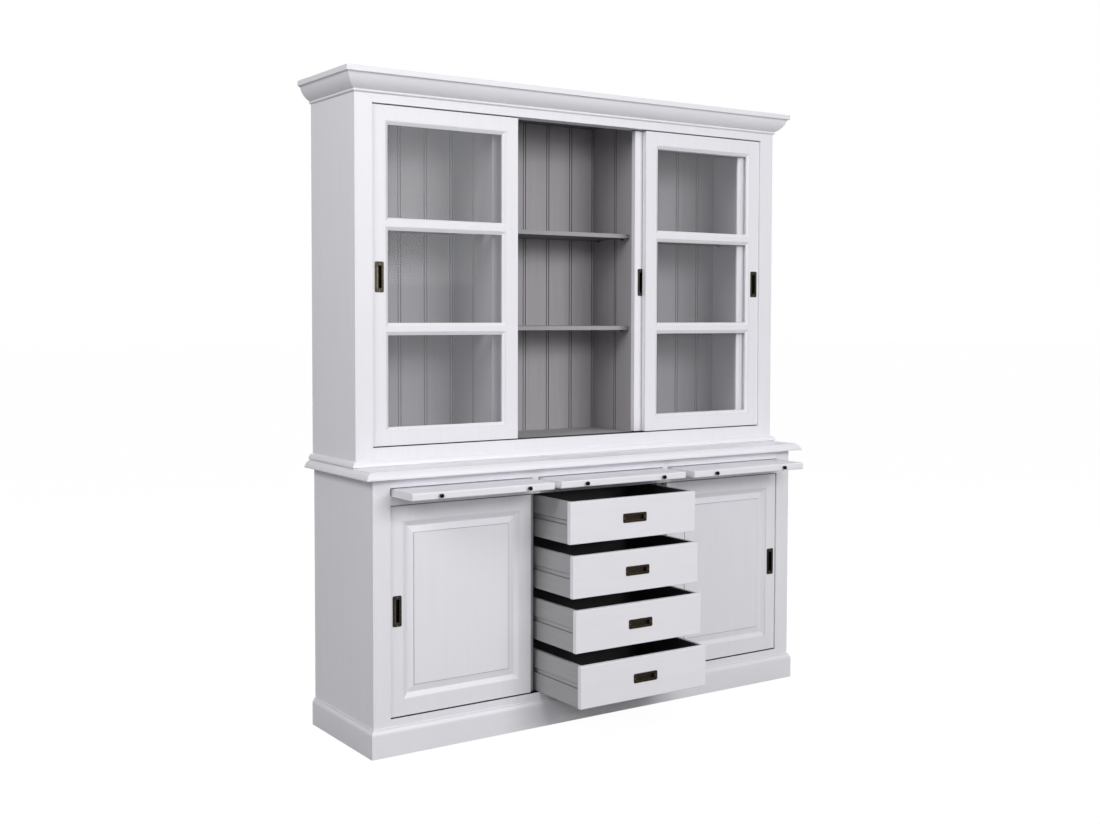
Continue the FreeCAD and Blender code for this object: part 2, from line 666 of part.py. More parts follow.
# Upper unit
upper_inside = ("upper_frame_back", "inside_back")
upper_frame = ("upper_front", "upper_frame_back")
upper_height_span = ("base_height", "carcass_top")
within = ("-upper_inner", "upper_inner")
node("upper_sides", pair("upper_side", ("upper_inner", "upper_half"), ("upper_frame_back", "back"),
                         upper_height_span))
node("upper_floor_and_ceiling", [
    board("upper_floor_board", within, upper_inside, ("upper_floor - panel_thickness", "upper_floor")),
    board("upper_ceiling_board", within, upper_inside, ("ceiling", "ceiling + panel_thickness"))])

upper_frame_pieces = pair("upper_stile", ("upper_opening", "upper_half"), upper_frame, upper_height_span)
upper_faces = ["front_track", "rear_track"]
upper_frame_pieces += sill_rail("upper_sill_rail", "upper_opening", upper_frame,
                                ("base_height", "upper_sill"))
upper_frame_pieces += head_rail("upper_head_rail", "upper_opening", upper_faces, upper_frame,
                                ("upper_head", "carcass_top"))
node("upper_face_frame", upper_frame_pieces)


def plane_of(body, role):
    """One of a body's own origin planes."""
    return next(item for item in body.Origin.OriginFeatures if item.Role == role)


def body_sketch(body, name, corners):
    """A closed sketch of straight lines on a body's ground plane, lifted to the foot of the upper unit."""
    sketch = body.newObject("Sketcher::SketchObject", name)
    sketch.AttachmentSupport = (plane_of(body, "XY_Plane"), [""])
    sketch.MapMode = "FlatFace"
    sketch.setExpression("AttachmentOffset.Base.z", formula("base_height"))
    points = [FreeCAD.Vector(value(x), value(y), 0) for x, y in corners]
    for number in range(len(points)):
        sketch.addGeometry(Part.LineSegment(points[number - 1], points[number]))
    for number, corner in enumerate(corners):
        following = (number + 1) % len(points)
        sketch.addConstraint(Sketcher.Constraint("Coincident", number, 2, following, 1))
        for kind, axis_line, text in (("DistanceX", -2, corner[0]), ("DistanceY", -1, corner[1])):
            if text == "0":
                sketch.addConstraint(Sketcher.Constraint("PointOnObject", number, 2, axis_line))
                continue
            place = sketch.addConstraint(Sketcher.Constraint(kind, -1, 1, number, 2, value(text)))
            sketch.setExpression(f"Constraints[{place}]", formula(text))
    return sketch


def grooved_back():
    """The upper back: a panel with a bead between two grooves at each joint, patterned across it."""
    body = doc.addObject("PartDesign::Body", "upper_back")
    pitch = "2 * upper_inner / back_boards_across"
    panel = body.newObject("PartDesign::Pad", "upper_back_panel")
    panel.Profile = body_sketch(body, "upper_back_plan", [
        ("-upper_inner", "inside_back"), ("upper_inner", "inside_back"), ("upper_inner", "back"),
        ("-upper_inner", "back")])
    panel.setExpression("Length", formula("carcass_top - base_height"))
    doc.recompute()
    joint = f"back_board_shift - {pitch} * (back_joint_count - 1) / 2"
    left = f"{joint} - back_bead_half"
    right = f"{joint} + back_bead_half"
    bottom = "inside_back + back_groove"
    bead = "inside_back + back_bead_drop"
    groove = body.newObject("PartDesign::Pocket", "upper_back_groove")
    groove.Profile = body_sketch(body, "upper_back_groove_plan", [
        (f"{left} - back_groove", "inside_back"), (f"{right} + back_groove", "inside_back"),
        (right, bottom), (f"{right} - back_groove", bead),
        (f"{left} + back_groove", bead), (left, bottom)])
    groove.Type = "ThroughAll"
    groove.Reversed = True
    doc.recompute()
    pattern = body.newObject("PartDesign::LinearPattern", "upper_back_grooves")
    pattern.Originals = [groove]
    pattern.Direction = (plane_of(body, "X_Axis"), [""])
    pattern.setExpression("Occurrences", formula("back_joint_count"))
    pattern.setExpression("Length", formula(f"{pitch} * (back_joint_count - 1)"))
    body.Tip = pattern
    doc.recompute()
    return body


node("upper_back", [grooved_back()])


def groove_cutter(name, face, middle):
    """A square bar on its edge that cuts one upright groove into a wall."""
    side = ("0", "back_groove * sqrt(2)")
    cutter = board(name, side, side, ("0", "ceiling - upper_floor"))
    for axis, text in zip("xyz", (face, f"{middle} - back_groove", "upper_floor")):
        cutter.setExpression(f"Placement.Base.{axis}", formula(text))
    cutter.Placement.Rotation = FreeCAD.Rotation(Z_AXIS, 45)
    return cutter


def partition(side, sign):
    """A hollow partition: a front post and two walls, each of two boards with a bead between."""
    def across(low, high):
        return (low, high) if sign > 0 else mirrored((low, high))

    height = ("upper_floor", "ceiling")
    skin_front = "upper_frame_back + partition_post"
    pieces = [board(f"partition_{side}_post", across("bay_wall", "partition_outer"),
                    ("upper_frame_back", skin_front), height)]
    walls = {"inner": ("bay_wall", "bay_wall + partition_skin", "bay_wall"),
             "outer": ("partition_outer - partition_skin", "partition_outer", "partition_outer")}
    for wall, (low, high, face) in walls.items():
        name = f"partition_{side}_{wall}"
        piece = board(f"{name}_board", across(low, high), (skin_front, "inside_back"), height)
        edge = face if sign > 0 else f"-({face})"
        for number, step in enumerate(("-", "+")):
            middle = f"upper_frame_back + partition_board {step} back_bead_half"
            piece = cut(f"{name}_{number}", piece, groove_cutter(f"{name}_cutter_{number}", edge, middle))
        pieces.append(piece)
    return pieces


node("upper_partitions", partition("left", -1) + partition("right", 1))

upper_shelf_front = "upper_frame_back + shelf_setback"
upper_bays = {"left": ("-upper_inner", "-partition_outer"), "middle": ("-bay_wall", "bay_wall"),
              "right": ("partition_outer", "upper_inner")}
for level in (1, 2):
    shelf_low = f"pane_low + {level} * pane_pitch - (muntin_width + shelf_thickness) / 2"
    for bay, span in upper_bays.items():
        shelves.append(shelf(f"upper_shelf_{bay}_{level}", span, upper_shelf_front, shelf_low))
node("shelves", shelves)
node("shelf_pins", pins)

CORNICE_SECTION = [
    ("0", "0"),
    ("cornice_bead_out", "0"),
    ("cornice_bead_out", "cornice_bead", "cornice_bead_radius", "bulge"),
    ("cornice_foot", "cornice_bead"),
    ("cornice_overhang - cornice_lip", "cornice_swell_top", "cornice_swell", "bulge"),
    ("cornice_overhang", "cornice_fillet_low", "cornice_hollow", "hollow"),
    ("cornice_overhang", "cornice_height"),
    ("0", "cornice_height"),
]
node("cornice", mitred_moulding("cornice_moulding", CORNICE_SECTION, "upper_half", "upper_front",
                                "cornice_overhang", "cornice_low", "cornice_height"))

WAIST_SECTION = [
    ("0", "0"),
    ("waist_overhang - waist_step", "0"),
    ("waist_overhang - waist_step", "waist_step"),
    ("waist_overhang", "waist_step"),
    ("waist_top", "waist_height", "waist_round", "bulge"),
    ("0", "waist_height"),
]
node("waist_moulding", mitred_moulding("waist", WAIST_SECTION, "upper_half", "upper_front",
                                       "waist_overhang", "base_height", "waist_height"))

node("door_tracks", track("upper_track", "upper_opening", upper_faces, upper_frame, "upper_sill")
     + track("lower_track", "base_opening", ["low_track"], base_frame, "low_sill"))


# Sliding doors
def upper_door(door, left, width, front, margin, pull_on_left):
    """A glazed door: frame with two bars, three panes between beads, and a flush pull."""
    x = (left, f"({left}) + {width}")
    z = ("upper_door_low", "upper_door_top")
    edge = f"({margin} + pull_width / 2)"
    middle = f"({x[0]}) + {edge}" if pull_on_left else f"({x[1]}) - {edge}"
    pocket = flush_pull(f"{door}_pull", {"x": middle, "z": "upper_pull_height"}, front, False)
    panes = [(f"pane_low + {level} * pane_pitch", f"pane_low + {level} * pane_pitch + pane_span")
             for level in range(3)]
    rails = [("upper_door_low", "pane_low")]
    rails += [(panes[level][1], panes[level + 1][0]) for level in range(2)]
    rails.append((panes[2][1], "upper_door_top"))
    between = door_frame(door, x, front, z, "upper_door_stile", rails, pocket, pull_on_left)
    door_guides(door, x, front, z, "upper_sill", "upper_head")
    face = f"({front}) + glass_depth"
    behind = f"{face} + glass_thickness"
    glass = []
    beads = []
    for level, span in enumerate(panes):
        glass.append(board(f"{door}_pane_{level}", between, (face, behind), span))
        beads.append(ring(f"{door}_bead_{level}", between, span, (f"({front}) + bead_edge", face), "bevel"))
        beads.append(ring(f"{door}_back_bead_{level}", between, span,
                          (behind, f"({front}) + door_thickness - bead_edge"), "square"))
    node(f"{door}_glass", glass)
    node(f"{door}_beads", beads)


upper_door("upper_left_door", "-upper_opening + door_side_gap", "upper_door_width", "front_track",
           "pull_margin", True)
upper_door("upper_middle_door", "upper_opening - middle_door_rest - middle_door_width", "middle_door_width",
           "rear_track", "middle_pull_margin", True)
upper_door("upper_right_door", "upper_opening - door_side_gap - upper_door_width", "upper_door_width",
           "front_track", "pull_margin", False)


def lower_door(door, left, pull_on_left):
    """A panelled door: frame, mitred moulding, raised and fielded panel, and a flush pull."""
    front = "low_track"
    x = (left, f"({left}) + lower_door_width")
    z = ("low_door_low", "low_door_top")
    edge = "(pull_margin + pull_width / 2)"
    middle = f"({x[0]}) + {edge}" if pull_on_left else f"({x[1]}) - {edge}"
    pocket = flush_pull(f"{door}_pull", {"x": middle, "z": "lower_pull_height"}, front, False)
    tall = ("low_door_low + lower_door_low_rail", "low_door_top - lower_door_top_rail")
    rails = [("low_door_low", tall[0]), (tall[1], "low_door_top")]
    between = door_frame(door, x, front, z, "lower_door_stile", rails, pocket, pull_on_left)
    door_guides(door, x, front, z, "low_sill", "low_head")
    sunk = f"{front} + panel_depth"
    moulding = ring(f"{door}_moulding", between, tall, (f"{front} + bead_edge", sunk), "moulding")
    slab = board(f"{door}_slab", between, (sunk, f"{sunk} + door_panel_thickness"), tall)
    start = "moulding_width + panel_bevel"
    bevel = frustum(f"{door}_bevel", inset(between, start), inset(tall, start),
                    (f"{sunk} - panel_rise", sunk), "-panel_bevel")
    field_edge = f"{start} + field_step"
    field = board(f"{door}_field", inset(between, field_edge),
                  (f"{sunk} - panel_rise - field_step", f"{sunk} - panel_rise"), inset(tall, field_edge))
    node(f"{door}_panel", [fuse(f"{door}_raised_panel", [slab, bevel, field]), moulding])


lower_door("lower_left_door", "-base_opening + door_side_gap", True)
lower_door("lower_right_door", "base_opening - door_side_gap - lower_door_width", False)


# Drawers
def runner_height(number, gap):
    """Heights of a drawer's runner groove, at the middle of its side, drawn in by a gap."""
    middle = f"drawer_lowest + {4 - number} * drawer_pitch + drawer_height / 2"
    return f"{middle} - groove_radius + {gap}", f"{middle} + groove_radius - {gap}"


def runner_groove(name, x, start, end, height):
    """The shape of a groove along a drawer's side, with a round end behind the drawer's front."""
    straight = board(f"{name}_run", x, (f"{start} + groove_radius", end), height)
    round_end = doc.addObject("Part::Cylinder", f"{name}_end")
    round_end.setExpression("Radius", formula("groove_radius"))
    round_end.setExpression("Height", formula(f"({x[1]}) - ({x[0]})"))
    centre = (x[0], f"{start} + groove_radius", f"{height[0]} + groove_radius")
    for axis, text in zip("xyz", centre):
        round_end.setExpression(f"Placement.Base.{axis}", formula(text))
    round_end.Placement.Rotation = FreeCAD.Rotation(Z_AXIS, X_AXIS)
    return fuse(name, [straight, round_end])


def drawer_sides(name, number, behind, end, z):
    """The two sides of a drawer, each with a groove for its runner."""
    sides = []
    for side in ("left", "right"):
        x = ("drawer_outer - drawer_wall", "drawer_outer")
        room = ("drawer_outer - runner_groove_depth", "drawer_outer")
        if side == "left":
            x = mirrored(x)
            room = mirrored(room)
        plank = board(f"{name}_{side}_plank", x, (behind, end), z)
        groove = runner_groove(f"{name}_{side}_groove", room, f"{behind} + runner_groove_stop", end,
                               runner_height(number, "0"))
        sides.append(cut(f"{name}_{side}", plank, groove))
    return sides


def drawer(number):
    """A drawer: flat front with a flush pull, grooved sides, back and bottom."""
    name = f"drawer_{number}"
    low = f"drawer_lowest + {4 - number} * drawer_pitch"
    z = (low, f"{low} + drawer_height")
    front = f"drawer_shut - {name}_out"
    behind = f"{front} + drawer_front"
    end = f"{front} + drawer_depth"
    pocket = flush_pull(f"{name}_pull", {"x": "0", "z": f"{low} + drawer_height / 2"}, front, True)
    plank = board(f"{name}_plank", ("-drawer_half", "drawer_half"), (front, behind), z)
    face = round_edges(f"{name}_face", plank, "drawer_edge_radius", lies_at(front))
    node(f"{name}_front", [cut(f"{name}_face_with_pocket", face, pocket)])
    walls = drawer_sides(name, number, behind, end, z)
    inside_width = ("drawer_wall - drawer_outer", "drawer_outer - drawer_wall")
    walls.append(board(f"{name}_back", inside_width, (f"{end} - drawer_wall", end), z))
    floor = f"{low} + drawer_bottom_rise"
    walls.append(board(f"{name}_floor", inside_width, (behind, f"{end} - drawer_wall"),
                       (floor, f"{floor} + drawer_bottom")))
    node(f"{name}_box", walls)


def drawer_runners():
    """Strips on the walls of the drawer bay, on which the drawers' grooves run."""
    x = ("drawer_outer - runner_groove_depth + running_gap", "bay_half")
    y = ("drawer_shut + drawer_front + runner_groove_stop + groove_radius + running_gap",
         "drawer_shut + drawer_depth")
    strips = []
    for number in (1, 2, 3, 4):
        strips += pair(f"runner_{number}", x, y, runner_height(number, "running_gap"))
    return strips


node("drawer_runners", drawer_runners())
for drawer_number in (1, 2, 3, 4):
    drawer(drawer_number)


# Serving trays
def knob(name, x, front):
    """A turned knob: a small foot, a neck and a ball, with its axis square to the tray's front."""
    neck_end = "knob_foot_height + knob_neck_length"
    tip = f"{neck_end} + sqrt((knob_ball / 2)^2 - (knob_neck / 2)^2) + knob_ball / 2"
    section = [
        ("0", "0"),
        ("knob_foot / 2", "0"),
        ("knob_foot / 2", "knob_foot_height"),
        ("knob_neck / 2", "knob_foot_height"),
        ("knob_neck / 2", neck_end),
        ("0", tip, "knob_ball / 2", "bulge"),
    ]
    turned = doc.addObject("Part::Revolution", name)
    turned.Source = outline(f"{name}_section", section, FreeCAD.Rotation(X_AXIS, -Y_AXIS, -Z_AXIS, "XYZ"))
    turned.Axis = -Y_AXIS
    turned.Angle = 360
    turned.Solid = True
    for axis, text in zip("xyz", (x, front, "tray_floor + tray_thickness / 2")):
        turned.setExpression(f"Placement.Base.{axis}", formula(text))
    return turned


def tray(name, x):
    """A serving tray that slides on the deck, with a rounded front edge and two knobs."""
    middle = f"(({x[0]}) + ({x[1]})) / 2"
    front = f"base_front - {name}_out"
    plank = board(f"{name}_plank", inset(x, "tray_side_gap"), (front, f"{front} + tray_depth"),
                  ("tray_floor", "tray_floor + tray_thickness"))
    front_edge = lies_at(front)
    rounded = round_edges(f"{name}_rounded", plank, "tray_edge_radius",
                          lambda edge: along(edge, X_AXIS) and front_edge(edge))
    node(f"{name}_board", [rounded])
    knobs = [knob(f"{name}_knob_{side}", f"{middle} {sign} knob_spacing / 2", front)
             for side, sign in (("left", "-"), ("right", "+"))]
    node(f"{name}_knobs", knobs)


side_slot = ("slot_side", "base_opening")
tray("left_tray", mirrored(side_slot))
tray("middle_tray", ("-tray_half", "tray_half"))
tray("right_tray", side_slot)

doc.recompute()


def check(part):
    """Stops the build on an object that failed or a shape that isn't sound."""
    if part.Shape.isNull() or not part.Shape.isValid():
        raise RuntimeError(f"{part.Label} has no sound shape")
    if not part.Shape.Solids:
        raise RuntimeError(f"{part.Label} has no solid")


for item in doc.Objects:
    if {"Invalid", "Error"} & set(item.State):
        raise RuntimeError(f"{item.Label} failed: {item.State}")
for part in nodes:
    check(part)

os.makedirs("parts", exist_ok=True)
for part in nodes:
    part.Shape.exportStep(f"parts/{part.Label}.step")
    print(part.Label, len(part.Shape.Solids), "solids", round(part.Shape.Volume / 1000), "cm3")
print(len(nodes), "nodes")
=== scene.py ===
import math

import bpy
from mathutils import Matrix, Vector


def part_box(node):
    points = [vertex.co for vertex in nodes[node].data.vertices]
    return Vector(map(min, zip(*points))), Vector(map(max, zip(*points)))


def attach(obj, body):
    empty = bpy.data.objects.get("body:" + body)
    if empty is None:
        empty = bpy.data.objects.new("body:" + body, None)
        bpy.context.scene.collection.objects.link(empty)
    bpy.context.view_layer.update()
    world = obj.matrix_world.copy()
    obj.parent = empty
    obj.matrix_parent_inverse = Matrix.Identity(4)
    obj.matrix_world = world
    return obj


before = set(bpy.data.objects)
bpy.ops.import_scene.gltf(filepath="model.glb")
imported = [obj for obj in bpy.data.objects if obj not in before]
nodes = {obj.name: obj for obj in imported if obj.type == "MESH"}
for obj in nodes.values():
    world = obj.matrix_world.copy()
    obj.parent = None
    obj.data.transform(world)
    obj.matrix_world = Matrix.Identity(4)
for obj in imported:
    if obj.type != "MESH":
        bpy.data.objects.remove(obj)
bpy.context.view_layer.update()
scene = bpy.context.scene

# The photograph's camera, fitted to the cabinet's edges
IMAGE_WIDTH = 1100
IMAGE_HEIGHT = 824
FOCAL_PIXELS = 1347.913
PRINCIPAL_POINT = (562.13, 374.54)
CAMERA_PLACE = Vector((-2.77906, -4.06554, 1.41223))
CAMERA_YAW = math.radians(34.16)
CAMERA_PITCH = math.radians(2.492)
CAMERA_ROLL = math.radians(0.147)
SENSOR_MM = 36.0
VIEW_END = 200.0


def add_camera():
    """The camera at the photograph's viewing angle and framing."""
    forward = Vector((math.sin(CAMERA_YAW) * math.cos(CAMERA_PITCH),
                      math.cos(CAMERA_YAW) * math.cos(CAMERA_PITCH), -math.sin(CAMERA_PITCH)))
    right = Vector((math.cos(CAMERA_YAW), -math.sin(CAMERA_YAW), 0.0))
    down = forward.cross(right)
    turned_right = right * math.cos(CAMERA_ROLL) - down * math.sin(CAMERA_ROLL)
    turned_down = right * math.sin(CAMERA_ROLL) + down * math.cos(CAMERA_ROLL)
    data = bpy.data.cameras.new("camera")
    data.sensor_fit = "HORIZONTAL"
    data.sensor_width = SENSOR_MM
    data.lens = FOCAL_PIXELS * SENSOR_MM / IMAGE_WIDTH
    data.shift_x = (IMAGE_WIDTH / 2 - PRINCIPAL_POINT[0]) / IMAGE_WIDTH
    data.shift_y = (PRINCIPAL_POINT[1] - IMAGE_HEIGHT / 2) / IMAGE_WIDTH
    data.clip_end = VIEW_END
    camera = bpy.data.objects.new("camera", data)
    axes = Matrix((turned_right, -turned_down, -forward)).transposed()
    camera.matrix_world = Matrix.Translation(CAMERA_PLACE) @ axes.to_4x4()
    scene.collection.objects.link(camera)
    scene.camera = camera


# How the node materials find grooves, steps and edges: parts of a face's direction, and metres
GROOVE_FACING = 0.2
FACES_AXIS = 0.5
STEP_FACING = 0.3
EDGE_STARTS = 0.97
EDGE_FULL = 0.86
EDGE_SAMPLES = 6
CREASE_HALF = 0.0009
FIELD_INSET = 0.0397


class Shader:
    """A node material under construction, with short calls for the nodes used here."""

    def __init__(self, name):
        self.material = bpy.data.materials.new(name)
        self.material.use_nodes = True
        self.tree = self.material.node_tree
        self.surface = self.tree.nodes["Principled BSDF"]
        ways = self.add("ShaderNodeTexCoord").outputs
        self.place = ways["Object"]
        self.share = ways["Generated"]

    def add(self, kind, **settings):
        node = self.tree.nodes.new(kind)
        for key, value in settings.items():
            setattr(node, key, value)
        return node

    def put(self, socket, value):
        """Links an output to a socket, or sets its value."""
        if isinstance(value, bpy.types.NodeSocket):
            self.tree.links.new(value, socket)
        else:
            socket.default_value = value

    def set(self, **values):
        """Sets or links the surface shader's sockets; underscores stand for spaces."""
        for key, value in values.items():
            self.put(self.surface.inputs[key.replace("_", " ")], value)

    def stretched(self, scale):
        """Object coordinates scaled along each axis."""
        node = self.add("ShaderNodeMapping")
        self.put(node.inputs["Vector"], self.place)
        node.inputs["Scale"].default_value = scale
        return node.outputs["Vector"]

    def noise(self, scale, detail=3.0, roughness=0.5, vector=None):
        node = self.add("ShaderNodeTexNoise")
        self.put(node.inputs["Vector"], vector or self.place)
        node.inputs["Scale"].default_value = scale
        node.inputs["Detail"].default_value = detail
        node.inputs["Roughness"].default_value = roughness
        return node.outputs["Fac"]

    def math(self, operation, a, b=0.0, clamp=False):
        node = self.add("ShaderNodeMath", operation=operation, use_clamp=clamp)
        self.put(node.inputs[0], a)
        self.put(node.inputs[1], b)
        return node.outputs[0]

    def range(self, value, low, high, to_low, to_high):
        node = self.add("ShaderNodeMapRange")
        items = {"Value": value, "From Min": low, "From Max": high, "To Min": to_low, "To Max": to_high}
        for name, item in items.items():
            self.put(node.inputs[name], item)
        return node.outputs["Result"]

    def mix(self, factor, a, b):
        """Colour a where the factor is 0, colour b where it is 1."""
        node = self.add("ShaderNodeMix", data_type="RGBA")
        self.put(node.inputs[0], factor)
        self.put(node.inputs[6], a)
        self.put(node.inputs[7], b)
        return node.outputs[2]

    def split(self, vector):
        node = self.add("ShaderNodeSeparateXYZ")
        self.put(node.inputs[0], vector)
        return node.outputs

    def normal(self):
        return self.add("ShaderNodeNewGeometry").outputs["Normal"]

    def shaded_groove_side(self):
        """1 on the sides of upright grooves that face left and to the front, where shade is painted; 0
        elsewhere.
        """
        facing = self.split(self.normal())
        return self.math("GREATER_THAN", self.math("MULTIPLY", facing["X"], facing["Y"]), GROOVE_FACING)

    def shaded_crease(self, box):
        """1 along the foot of a raised panel's field, where shade is painted; 0 elsewhere."""
        size = box[1] - box[0]
        share = self.split(self.share)
        ways = []
        for axis, length in (("X", size.x), ("Z", size.z)):
            from_middle = self.math("ABSOLUTE", self.math("SUBTRACT", share[axis], 0.5))
            ways.append(self.math("MULTIPLY", self.math("SUBTRACT", 0.5, from_middle), length))
        from_edge = self.math("SUBTRACT", self.math("MINIMUM", *ways), FIELD_INSET)
        return self.math("LESS_THAN", self.math("ABSOLUTE", from_edge), CREASE_HALF)

    def rounded(self, radius):
        """The normal of a surface whose edges are rounded by a small radius."""
        node = self.add("ShaderNodeBevel", samples=EDGE_SAMPLES)
        node.inputs["Radius"].default_value = radius
        return node.outputs["Normal"]

    def edges(self, radius):
        """1 on the edges, 0 on the faces."""
        dot = self.add("ShaderNodeVectorMath", operation="DOT_PRODUCT")
        self.put(dot.inputs[0], self.rounded(radius))
        self.put(dot.inputs[1], self.normal())
        return self.range(dot.outputs["Value"], EDGE_STARTS, EDGE_FULL, 0.0, 1.0)

    def bump(self, height, strength, distance, normal=None):
        node = self.add("ShaderNodeBump")
        node.inputs["Strength"].default_value = strength
        node.inputs["Distance"].default_value = distance
        self.put(node.inputs["Height"], height)
        if normal:
            self.put(node.inputs["Normal"], normal)
        return node.outputs["Normal"]


def rgb(red, green, blue):
    """A display colour, 0 to 255, as the linear colour that the nodes take."""
    def linear(part):
        part = part / 255
        return part / 12.92 if part <= 0.04045 else ((part + 0.055) / 1.055) ** 2.4
    return linear(red), linear(green), linear(blue), 1.0


def shaded(color, share):
    """A colour with its light cut to a share."""
    return tuple(part * share for part in color[:3]) + (1.0,)


# Grain and brush strokes: how often they change along each axis, for boards that lie along x, y or z
GRAIN = {"x": (3.0, 60.0, 60.0), "y": (60.0, 3.0, 60.0), "z": (60.0, 60.0, 3.0)}

# Colours, and the share of light left in shaded places
WHITE = rgb(235, 234, 239)
WHITE_SHADE = rgb(230, 229, 235)
GREY = rgb(174, 171, 175)
GREY_SHADE = rgb(166, 163, 167)
# Painted shade and painted light: the shelves take the interior grey painted darker, the upper floor
# the interior grey painted lighter
SHADED_SHELF_GREY = rgb(164, 161, 165)
SHELF_GREY_SHADE = rgb(157, 154, 158)
LIT_FLOOR_GREY = rgb(186, 183, 187)
FLOOR_GREY_SHADE = rgb(178, 175, 179)
PALE_WOOD = rgb(222, 200, 164)
DARK_WOOD = rgb(196, 170, 132)
WOOD_PORE = rgb(150, 120, 84)
GLASS_VEIL_TINT = rgb(234, 236, 242)
GROOVE_SHADE = 0.28
UNDERSIDE_SHADE = 0.3
STEP_SHADE = 0.3
CREASE_SHADE = 0.52
WORN_SHADE = 0.9


def paint(name, light, dark, along, roughness, shade_grooves=False, shade_undersides=False, shade_steps=False):
    """Satin paint brushed along the grain: faint streaks, pores that show through, softened edges.
    Painted shade may darken the left-facing sides of grooves between boards, undersides, and the narrow
    steps and crease of a raised panel."""
    shader = Shader(name)
    streaks = shader.noise(1.0, 5.0, 0.6, shader.stretched(GRAIN[along]))
    pores = shader.noise(7.0, 4.0, 0.65, shader.stretched(GRAIN[along]))
    clouds = shader.noise(2.2, 3.0)
    tone = shader.math("ADD", shader.math("MULTIPLY", streaks, 0.55),
                       shader.math("MULTIPLY", clouds, 0.45))
    color = shader.mix(shader.range(tone, 0.3, 0.7, 0.0, 1.0), dark, light)
    worn = shader.math("MULTIPLY", shader.edges(0.0016),
                       shader.range(pores, 0.35, 0.75, 0.05, 0.5))
    color = shader.mix(worn, color, shaded(dark, WORN_SHADE))
    if shade_grooves:
        # painted shade on the sides of the grooves that face left
        color = shader.mix(shader.shaded_groove_side(), color, shaded(dark, GROOVE_SHADE))
    if shade_undersides:
        # painted shade on faces that look down
        shaded_below = shader.math("LESS_THAN", shader.split(shader.normal())["Z"], -FACES_AXIS)
        color = shader.mix(shaded_below, color, shaded(dark, UNDERSIDE_SHADE))
    if shade_steps:
        # painted shade on the narrow steps of a raised panel and in the crease at the foot of its field
        outward = shader.math("ABSOLUTE", shader.split(shader.normal())["Y"])
        shaded_step = shader.math("LESS_THAN", outward, STEP_FACING)
        color = shader.mix(shaded_step, color, shaded(dark, STEP_SHADE))
        shaded_crease = shader.shaded_crease(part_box("lower_left_door_panel"))
        color = shader.mix(shaded_crease, color, shaded(dark, CREASE_SHADE))
    height = shader.math("ADD", shader.math("MULTIPLY", streaks, 0.6),
                         shader.math("MULTIPLY", pores, 0.4))
    shader.set(Base_Color=color,
               Roughness=shader.range(pores, 0.3, 0.7, roughness - 0.06, roughness + 0.08),
               Normal=shader.bump(height, 0.12, 0.0006, shader.rounded(0.0014)))
    return shader.material


# The recess of an upright pull, in shares of its box, and the painted shadow along its right wall
RECESS_FROM = 0.16
SHADOW_FROM = 0.52
SHADOW_FULL = 0.6
SHADOW_SHADE = 0.12


def bronze(name, metal, worn_metal, roughness, recess=None):
    """Aged metal: dark patina with brighter rubbed edges. The recess of an upright pull may be a
    lighter olive, with a painted shadow, near black, along its right wall."""
    shader = Shader(name)
    patina = shader.noise(140.0, 5.0, 0.6)
    color = shader.mix(shader.range(patina, 0.35, 0.7, 0.0, 1.0), metal, shaded(metal, 0.6))
    if recess:
        share = shader.split(shader.share)
        deep = shader.math("GREATER_THAN", share["Y"], RECESS_FROM)
        # painted shadow: the right part of the recess is darkened to near black
        recess_shadow = shader.math("MULTIPLY", deep,
                            shader.range(share["X"], SHADOW_FROM, SHADOW_FULL, 0.0, 1.0))
        color = shader.mix(deep, color, shader.mix(patina, recess, shaded(recess, 0.75)))
        color = shader.mix(recess_shadow, color, shaded(metal, SHADOW_SHADE))
    rub = shader.math("MULTIPLY", shader.edges(0.0012),
                      shader.range(patina, 0.3, 0.7, 0.9, 0.35))
    shader.set(Base_Color=shader.mix(rub, color, worn_metal), Metallic=1.0,
               Roughness=shader.range(patina, 0.3, 0.7, roughness - 0.08, roughness + 0.12),
               Normal=shader.bump(patina, 0.15, 0.0003, shader.rounded(0.0008)))
    return shader.material


def steel(name, color, roughness):
    """Rolled or drawn metal with fine lines along its length."""
    shader = Shader(name)
    lines = shader.noise(1.0, 4.0, 0.6, shader.stretched((4.0, 4.0, 900.0)))
    shader.set(Base_Color=shader.mix(lines, shaded(color, 0.75), color), Metallic=0.7,
               Roughness=shader.range(lines, 0.3, 0.7, roughness - 0.06, roughness + 0.1),
               Normal=shader.bump(lines, 0.1, 0.0002, shader.rounded(0.0006)))
    return shader.material


def glass(name, reflection_veil):
    """Clear float glass: mostly see-through, with a faint diffuse white veil as a painted reflection.
    """
    shader = Shader(name)
    ripple = shader.noise(1.6, 2.0)
    # painted reflection: a faint diffuse white veil over the pane, heavier on the upper left door
    shader.set(Base_Color=GLASS_VEIL_TINT, Roughness=shader.range(ripple, 0.3, 0.7, 0.02, 0.05),
               Alpha=reflection_veil, IOR=1.5, Normal=shader.bump(ripple, 0.02, 0.002))
    return shader.material


def bare_board(name, along):
    """Unpainted board: pale wood with grain lines and darker pores."""
    shader = Shader(name)
    grain = shader.noise(1.0, 6.0, 0.65, shader.stretched(GRAIN[along]))
    fine = shader.noise(6.0, 3.0, 0.6, shader.stretched(GRAIN[along]))
    color = shader.mix(shader.range(grain, 0.3, 0.7, 0.0, 1.0), DARK_WOOD, PALE_WOOD)
    color = shader.mix(shader.range(fine, 0.58, 0.72, 0.0, 0.4), color, WOOD_PORE)
    shader.set(Base_Color=color, Roughness=shader.range(fine, 0.3, 0.7, 0.55, 0.75),
               Normal=shader.bump(fine, 0.3, 0.0004, shader.rounded(0.001)))
    return shader.material


